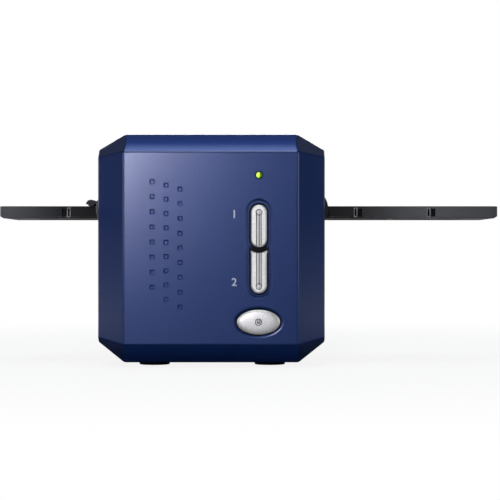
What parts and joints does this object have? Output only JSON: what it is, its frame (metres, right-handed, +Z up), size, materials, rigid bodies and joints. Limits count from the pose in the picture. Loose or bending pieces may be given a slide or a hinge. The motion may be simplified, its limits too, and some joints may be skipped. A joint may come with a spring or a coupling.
{
  "type": "film negative scanner",
  "caption": "Desktop film strip scanner: octagonal navy case, side slots with dust doors, film holder in place, sliding optics carriage and push buttons.",
  "frame": {"origin": "centre of the footprint of the whole object on the surface it stands on, with the film holder centred on it; the case lies half a film frame towards -X", "axes": "+Z up, front face with the buttons towards -Y, film holder running along X"},
  "size_m": [0.26, 0.272, 0.1186],
  "materials": {
    "navy_paint": "satin metallic navy paint on moulded plastic",
    "navy_plain": "fine textured navy plastic",
    "silver_button": "satin metallic silver paint",
    "black_plastic": "fine textured black plastic",
    "charcoal_plastic": "satin charcoal plastic",
    "white_plastic": "natural acetal",
    "foot_rubber": "matte rubber",
    "plated_steel": "zinc plated sheet",
    "bright_steel": "ground bright",
    "screw_steel": "black zinc",
    "spring_steel": "bright drawn",
    "brass": "turned",
    "circuit_board": "green solder mask",
    "chip_black": "moulded package",
    "mirror_glass": "front silvered",
    "film_base": "orange brown film base",
    "lamp_diffuser": "frosted white",
    "status_green": "lit yellow green",
    "flat_cable": "white flat cable"
  },
  "bodies": {
    "root": {"front_bezel": "navy_paint", "upper_housing": "navy_paint", "lower_housing": "navy_paint", "rear_panel": "navy_plain", "slot_frame_left": "charcoal_plastic", "slot_frame_right": "charcoal_plastic", "foot_front_left": "foot_rubber", "foot_front_right": "foot_rubber", "foot_rear_left": "foot_rubber", "foot_rear_right": "foot_rubber", "case_screw_upper_left": "screw_steel", "case_screw_upper_right": "screw_steel", "case_screw_lower_left": "screw_steel", "case_screw_lower_right": "screw_steel", "left_door_pin": "bright_steel", "right_door_pin": "bright_steel", "left_door_spring": "spring_steel", "right_door_spring": "spring_steel", "film_track": "black_plastic", "click_spring": "spring_steel", "chassis": "plated_steel", "guide_rod": "bright_steel", "motor_bracket": "plated_steel", "stepper_motor": "plated_steel", "main_board": "circuit_board", "processor_chip": "chip_black", "usb_socket": "plated_steel", "power_socket": "black_plastic", "ribbon_cable": "flat_cable", "panel_board": "circuit_board", "status_lamp": "status_green", "upper_scan_switch": "black_plastic", "lower_scan_switch": "black_plastic", "power_switch": "black_plastic"},
    "upper_button": {"upper_scan_button": "silver_button", "upper_scan_plunger": "white_plastic"},
    "lower_button": {"lower_scan_button": "silver_button", "lower_scan_plunger": "white_plastic"},
    "power_key": {"power_button": "silver_button", "power_plunger": "white_plastic"},
    "left_door": {"left_dust_door": "black_plastic"},
    "right_door": {"right_dust_door": "black_plastic"},
    "film_holder": {"holder_base": "charcoal_plastic", "holder_lid": "black_plastic", "holder_hinge_pin": "bright_steel", "film_strip": "film_base"},
    "carriage": {"optics_housing": "black_plastic", "optics_cover": "plated_steel", "front_bushing": "brass", "rear_bushing": "brass", "drive_nut": "brass", "scan_mirror": "mirror_glass", "lens_barrel": "black_plastic", "sensor_board": "circuit_board", "image_sensor": "chip_black", "lamp_arm": "black_plastic", "lamp_diffuser": "lamp_diffuser"},
    "screw": {"lead_screw": "bright_steel", "screw_gear": "white_plastic"},
    "pinion": {"motor_pinion": "brass"}
  },
  "joints": [
    {"name": "upper_button_press", "type": "slide", "parent": "root", "child": "upper_button", "axis": [0, 1, 0], "range_m": [0, 0.0008], "stiffness_N_per_m": 400},
    {"name": "lower_button_press", "type": "slide", "parent": "root", "child": "lower_button", "axis": [0, 1, 0], "range_m": [0, 0.0008], "stiffness_N_per_m": 400},
    {"name": "power_button_press", "type": "slide", "parent": "root", "child": "power_key", "axis": [0, 1, 0], "range_m": [0, 0.0008], "stiffness_N_per_m": 400},
    {"name": "left_door_swing", "type": "hinge", "parent": "root", "child": "left_door", "pos_m": [-0.0762, -0.071, 0.0843], "axis": [0, 1, 0], "range_deg": [0, 15], "stiffness_Nm_per_rad": 0.0005, "springref_deg": -80.21},
    {"name": "right_door_swing", "type": "hinge", "parent": "root", "child": "right_door", "pos_m": [0.0382, -0.071, 0.0843], "axis": [0, 1, 0], "range_deg": [0, 15], "stiffness_Nm_per_rad": 0.0005, "springref_deg": -80.21},
    {"name": "holder_slide", "type": "slide", "parent": "root", "child": "film_holder", "axis": [1, 0, 0], "range_m": [-0.114, 0.16], "deforming": ["click_spring"]},
    {"name": "carriage_travel", "type": "slide", "parent": "root", "child": "carriage", "axis": [0, -1, 0], "range_m": [0, 0.026], "deforming": ["ribbon_cable"]},
    {"name": "screw_turn", "type": "hinge", "parent": "root", "child": "screw", "pos_m": [0.015, 0, 0.04], "axis": [0, 1, 0], "range_deg": [0, 2345]},
    {"name": "pinion_turn", "type": "hinge", "parent": "root", "child": "pinion", "pos_m": [-0.0042, 0.0685, 0.04], "axis": [0, 1, 0], "range_deg": [-7030, 0]}
  ],
  "couplings": [
    {"joint": "screw_turn", "follows": "carriage_travel", "rad_per_m": 1570.8},
    {"joint": "pinion_turn", "follows": "carriage_travel", "rad_per_m": -4712.4}
  ]
}
